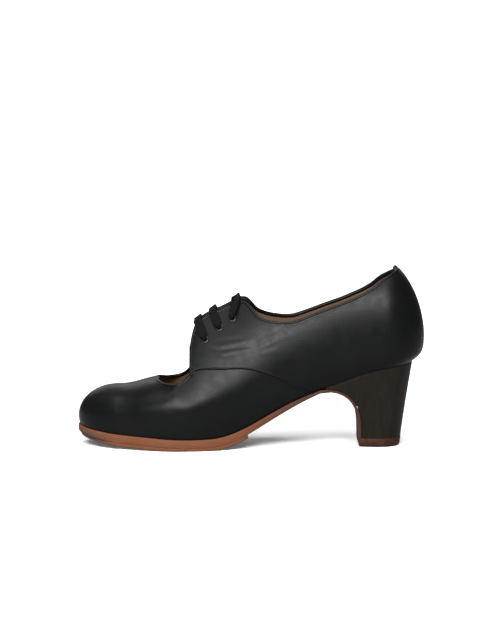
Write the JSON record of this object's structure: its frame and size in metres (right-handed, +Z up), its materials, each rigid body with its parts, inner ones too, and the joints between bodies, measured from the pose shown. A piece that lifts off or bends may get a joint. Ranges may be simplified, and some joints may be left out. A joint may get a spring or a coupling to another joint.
{
  "type": "flamenco shoe",
  "caption": "Left flamenco shoe in black leather: laced quarter over an oval cut-out, leather sole, curved wooden heel.",
  "frame": {"origin": "centre of the top lift's underside, on the floor under the heel", "axes": "+X towards the back of the heel, so the toe points along -X; -Y towards the outer side of the foot; +Z up"},
  "size_m": [0.2388, 0.0796, 0.1243],
  "materials": {
    "black_leather": "smooth, soft gloss",
    "sole_leather": "natural, worn edge",
    "tan_lining": "matt",
    "dark_wood": "stained, satin",
    "red_lift": "matt",
    "black_enamel": "enamelled",
    "black_cotton": "flat woven cord"
  },
  "bodies": {
    "root": {"outsole": "sole_leather", "half_sole": "sole_leather", "heel": "dark_wood", "top_lift": "red_lift", "insole": "tan_lining", "upper": "black_leather", "eyelet_lateral_1": "black_enamel", "eyelet_lateral_2": "black_enamel", "eyelet_lateral_3": "black_enamel", "eyelet_medial_1": "black_enamel", "eyelet_medial_2": "black_enamel", "eyelet_medial_3": "black_enamel", "lace": "black_cotton", "lace_knot": "black_cotton"}
  },
  "joints": []
}
